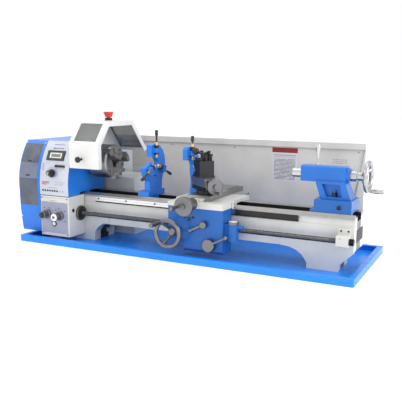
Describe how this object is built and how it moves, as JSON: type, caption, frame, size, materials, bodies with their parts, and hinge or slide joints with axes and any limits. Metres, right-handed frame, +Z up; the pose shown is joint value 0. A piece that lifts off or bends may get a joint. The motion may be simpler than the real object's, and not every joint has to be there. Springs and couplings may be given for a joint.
{
  "type": "metal lathe",
  "caption": "Bench metal lathe with chip tray, variable-speed headstock under a hinged chuck guard, saddle with cross and compound slides, steady and follow rests, and a tailstock.",
  "frame": {"origin": "centre of the chip tray's underside", "axes": "+X along the spindle axis towards the tailstock, +Y to the back of the machine, +Z up"},
  "size_m": [1.471, 0.5904, 0.5385],
  "materials": {
    "blue_paint": "gloss",
    "white_paint": "gloss",
    "guard_paint": "satin",
    "panel_grey": "satin",
    "ground_steel": "brushed",
    "bright_steel": "polished",
    "black_oxide": "satin",
    "black_plastic": "matte",
    "grey_plastic": "satin",
    "red_plastic": "gloss",
    "clear_window": "clear",
    "brass": "polished",
    "bronze": "satin",
    "belt_rubber": "matte",
    "motor_iron": "satin",
    "gear_steel": "satin",
    "wheel_metal": "satin"
  },
  "bodies": {
    "lathe_bed": {"chip_tray": "blue_paint", "bed": "white_paint", "bed_rack": "ground_steel", "machine_screws": "black_oxide", "leadscrew_bracket": "white_paint", "headstock_casting": "blue_paint", "control_box": "panel_grey", "display_unit": "grey_plastic", "feed_gearbox": "white_paint", "spindle_bearings": "bright_steel", "motor": "motor_iron", "drive_belt": "belt_rubber", "splash_guard": "guard_paint", "motor_cover": "white_paint", "gear_quadrant": "gear_steel", "hinge_rods": "bright_steel"},
    "spindle": {"spindle": "bright_steel", "chuck_body": "bright_steel", "spindle_pulley": "gear_steel"},
    "jaw_1": {"chuck_jaw_1": "bright_steel"},
    "jaw_2": {"chuck_jaw_2": "bright_steel"},
    "jaw_3": {"chuck_jaw_3": "bright_steel"},
    "motor_pulley": {"motor_pulley": "gear_steel"},
    "idler_gear": {"idler_gear": "gear_steel"},
    "leadscrew": {"leadscrew": "bright_steel"},
    "end_cover": {"end_cover": "blue_paint"},
    "chuck_hood": {"chuck_hood": "white_paint", "hood_windows": "clear_window"},
    "estop_button": {"estop_button": "red_plastic"},
    "speed_knob": {"speed_knob": "black_plastic"},
    "feed_selector_left": {"feed_selector_left": "black_plastic"},
    "feed_selector_right": {"feed_selector_right": "black_plastic"},
    "carriage": {"saddle": "white_paint", "apron": "blue_paint", "follow_rest": "blue_paint"},
    "follow_finger_top": {"follow_finger_top": "brass"},
    "follow_finger_back": {"follow_finger_back": "brass"},
    "half_nut_lever": {"half_nut_lever": "bright_steel"},
    "half_nut_upper": {"half_nut_upper": "bronze"},
    "half_nut_lower": {"half_nut_lower": "bronze"},
    "feed_lever": {"feed_lever": "bright_steel"},
    "thread_dial": {"thread_dial": "wheel_metal"},
    "carriage_handwheel": {"carriage_handwheel": "wheel_metal"},
    "cross_slide": {"cross_slide": "ground_steel"},
    "cross_handwheel": {"cross_handwheel": "wheel_metal"},
    "compound_base": {"compound_base": "black_oxide"},
    "top_slide": {"top_slide": "ground_steel"},
    "compound_handwheel": {"compound_handwheel": "wheel_metal"},
    "tool_post": {"tool_post": "black_oxide"},
    "tool_post_lever": {"tool_post_lever": "black_plastic"},
    "tailstock": {"tailstock_base": "blue_paint", "tailstock_body": "blue_paint"},
    "quill": {"quill": "bright_steel"},
    "tailstock_handwheel": {"tailstock_handwheel": "wheel_metal"},
    "quill_lock_lever": {"quill_lock_lever": "bright_steel"},
    "tailstock_clamp_nut": {"tailstock_clamp_nut": "black_oxide"},
    "steady_rest": {"steady_rest": "blue_paint"},
    "steady_finger_top": {"steady_finger_top": "brass"},
    "steady_finger_front": {"steady_finger_front": "brass"},
    "steady_finger_back": {"steady_finger_back": "brass"}
  },
  "joints": [
    {"name": "spindle_spin", "type": "hinge", "parent": "lathe_bed", "child": "spindle", "pos_m": [-0.5, -0.047, 0.334], "axis": [1, 0, 0], "continuous": true},
    {"name": "jaw_1_slide", "type": "slide", "parent": "spindle", "child": "jaw_1", "axis": [0, 0.9397, 0.342], "range_m": [-0.018, 0.01]},
    {"name": "jaw_2_slide", "type": "slide", "parent": "spindle", "child": "jaw_2", "axis": [0, -0.766, 0.6428], "range_m": [-0.018, 0.01]},
    {"name": "jaw_3_slide", "type": "slide", "parent": "spindle", "child": "jaw_3", "axis": [0, -0.1736, -0.9848], "range_m": [-0.018, 0.01]},
    {"name": "motor_spin", "type": "hinge", "parent": "lathe_bed", "child": "motor_pulley", "pos_m": [-0.6, 0.112, 0.168], "axis": [1, 0, 0], "continuous": true},
    {"name": "idler_spin", "type": "hinge", "parent": "lathe_bed", "child": "idler_gear", "pos_m": [-0.675, -0.06238, 0.22508], "axis": [1, 0, 0], "continuous": true},
    {"name": "leadscrew_spin", "type": "hinge", "parent": "lathe_bed", "child": "leadscrew", "pos_m": [0, -0.148, 0.122], "axis": [1, 0, 0], "continuous": true},
    {"name": "end_cover_hinge", "type": "hinge", "parent": "lathe_bed", "child": "end_cover", "pos_m": [-0.605, 0.16, 0.2], "axis": [0, 0, 1], "range_deg": [-90, 0]},
    {"name": "hood_hinge", "type": "hinge", "parent": "lathe_bed", "child": "chuck_hood", "pos_m": [-0.39, 0.15, 0.374], "axis": [1, 0, 0], "range_deg": [-75, 0]},
    {"name": "estop_press", "type": "slide", "parent": "chuck_hood", "child": "estop_button", "axis": [0, 0, 1], "range_m": [-0.0025, 0], "stiffness_N_per_m": 600, "springref_m": 0.002},
    {"name": "speed_knob_turn", "type": "hinge", "parent": "lathe_bed", "child": "speed_knob", "pos_m": [-0.546, -0.2, 0.287], "axis": [0, -0.984, 0.178], "range_deg": [-150, 150]},
    {"name": "feed_selector_left_turn", "type": "hinge", "parent": "lathe_bed", "child": "feed_selector_left", "pos_m": [-0.575, -0.222, 0.121], "axis": [0, -1, 0], "range_deg": [-60, 60]},
    {"name": "feed_selector_right_turn", "type": "hinge", "parent": "lathe_bed", "child": "feed_selector_right", "pos_m": [-0.51, -0.222, 0.118], "axis": [0, -1, 0], "range_deg": [-60, 60]},
    {"name": "carriage_slide", "type": "slide", "parent": "lathe_bed", "child": "carriage", "axis": [1, 0, 0], "range_m": [-0.045, 0.17]},
    {"name": "follow_finger_top_slide", "type": "slide", "parent": "carriage", "child": "follow_finger_top", "axis": [0, 0, 1], "range_m": [-0.018, 0.01]},
    {"name": "follow_finger_back_slide", "type": "slide", "parent": "carriage", "child": "follow_finger_back", "axis": [0, 1, 0], "range_m": [-0.01, 0.012]},
    {"name": "half_nut_lever_turn", "type": "hinge", "parent": "carriage", "child": "half_nut_lever", "pos_m": [0.14, -0.203, 0.142], "axis": [0, 1, 0], "range_deg": [-40, 0]},
    {"name": "half_nut_upper_slide", "type": "slide", "parent": "carriage", "child": "half_nut_upper", "axis": [0, 0, 1], "range_m": [-0.00745, 0]},
    {"name": "half_nut_lower_slide", "type": "slide", "parent": "carriage", "child": "half_nut_lower", "axis": [0, 0, 1], "range_m": [0, 0.0075]},
    {"name": "feed_lever_turn", "type": "hinge", "parent": "carriage", "child": "feed_lever", "pos_m": [0.163, -0.203, 0.068], "axis": [0, 1, 0], "range_deg": [-15, 45]},
    {"name": "thread_dial_turn", "type": "hinge", "parent": "carriage", "child": "thread_dial", "pos_m": [0.24, -0.172, 0.12], "axis": [0, 0, 1], "continuous": true},
    {"name": "carriage_handwheel_turn", "type": "hinge", "parent": "carriage", "child": "carriage_handwheel", "pos_m": [0.01, -0.186, 0.103], "axis": [0, 1, 0], "continuous": true},
    {"name": "cross_slide_feed", "type": "slide", "parent": "carriage", "child": "cross_slide", "axis": [0, 1, 0], "range_m": [-0.034, 0.06]},
    {"name": "cross_handwheel_turn", "type": "hinge", "parent": "carriage", "child": "cross_handwheel", "pos_m": [0.094, -0.203, 0.217], "axis": [0, 1, 0], "range_deg": [-4900, 8645]},
    {"name": "compound_swivel", "type": "hinge", "parent": "cross_slide", "child": "compound_base", "pos_m": [0.094, -0.092, 0.246], "axis": [0, 0, 1], "range_deg": [-30, 15]},
    {"name": "top_slide_feed", "type": "slide", "parent": "compound_base", "child": "top_slide", "axis": [-0.766, 0.6428, 0], "range_m": [-0.045, 0.005]},
    {"name": "compound_handwheel_turn", "type": "hinge", "parent": "top_slide", "child": "compound_handwheel", "pos_m": [0.13996, -0.13057, 0.274], "axis": [-0.766, 0.6428, 0], "range_deg": [-8105, 905]},
    {"name": "tool_post_turn", "type": "hinge", "parent": "top_slide", "child": "tool_post", "pos_m": [0.07102, -0.07272, 0.33], "axis": [0, 0, 1], "continuous": true},
    {"name": "tool_post_lever_turn", "type": "hinge", "parent": "tool_post", "child": "tool_post_lever", "pos_m": [0.07102, -0.07272, 0.37], "axis": [0, 0, 1], "range_deg": [-45, 35]},
    {"name": "tailstock_slide", "type": "slide", "parent": "lathe_bed", "child": "tailstock", "axis": [1, 0, 0], "range_m": [-0.05, 0.012]},
    {"name": "quill_feed", "type": "slide", "parent": "tailstock", "child": "quill", "axis": [-1, 0, 0], "range_m": [-0.03, 0.035]},
    {"name": "tailstock_handwheel_turn", "type": "hinge", "parent": "tailstock", "child": "tailstock_handwheel", "pos_m": [0.65, -0.047, 0.334], "axis": [-1, 0, 0], "range_deg": [-4325, 5045]},
    {"name": "quill_lock_turn", "type": "hinge", "parent": "tailstock", "child": "quill_lock_lever", "pos_m": [0.51, -0.047, 0.365], "axis": [0, 0, 1], "range_deg": [-90, 90]},
    {"name": "tailstock_clamp_turn", "type": "hinge", "parent": "tailstock", "child": "tailstock_clamp_nut", "pos_m": [0.58, -0.073, 0.265], "axis": [0, 0, 1], "continuous": true},
    {"name": "steady_rest_slide", "type": "slide", "parent": "lathe_bed", "child": "steady_rest", "axis": [1, 0, 0], "range_m": [-0.09, 0.04]},
    {"name": "steady_finger_top_slide", "type": "slide", "parent": "steady_rest", "child": "steady_finger_top", "axis": [0, 0, 1], "range_m": [-0.018, 0.01]},
    {"name": "steady_finger_front_slide", "type": "slide", "parent": "steady_rest", "child": "steady_finger_front", "axis": [0, -0.9063, -0.4226], "range_m": [-0.008, 0.012]},
    {"name": "steady_finger_back_slide", "type": "slide", "parent": "steady_rest", "child": "steady_finger_back", "axis": [0, 0.9063, -0.4226], "range_m": [-0.008, 0.012]}
  ],
  "couplings": [
    {"joint": "motor_spin", "follows": "spindle_spin", "ratio": 2},
    {"joint": "idler_spin", "follows": "spindle_spin", "ratio": -0.375},
    {"joint": "leadscrew_spin", "follows": "spindle_spin", "ratio": 0.55556},
    {"joint": "jaw_2_slide", "follows": "jaw_1_slide", "ratio": 1},
    {"joint": "jaw_3_slide", "follows": "jaw_1_slide", "ratio": 1},
    {"joint": "carriage_handwheel_turn", "follows": "carriage_slide", "rad_per_m": 330},
    {"joint": "thread_dial_turn", "follows": "carriage_slide", "rad_per_m": 98},
    {"joint": "half_nut_lower_slide", "follows": "half_nut_upper_slide", "ratio": -1},
    {"joint": "half_nut_lever_turn", "follows": "half_nut_upper_slide", "rad_per_m": 93.458},
    {"joint": "cross_handwheel_turn", "follows": "cross_slide_feed", "rad_per_m": 2513.3},
    {"joint": "compound_handwheel_turn", "follows": "top_slide_feed", "rad_per_m": 3141.6},
    {"joint": "tailstock_handwheel_turn", "follows": "quill_feed", "rad_per_m": 2513.3}
  ]
}
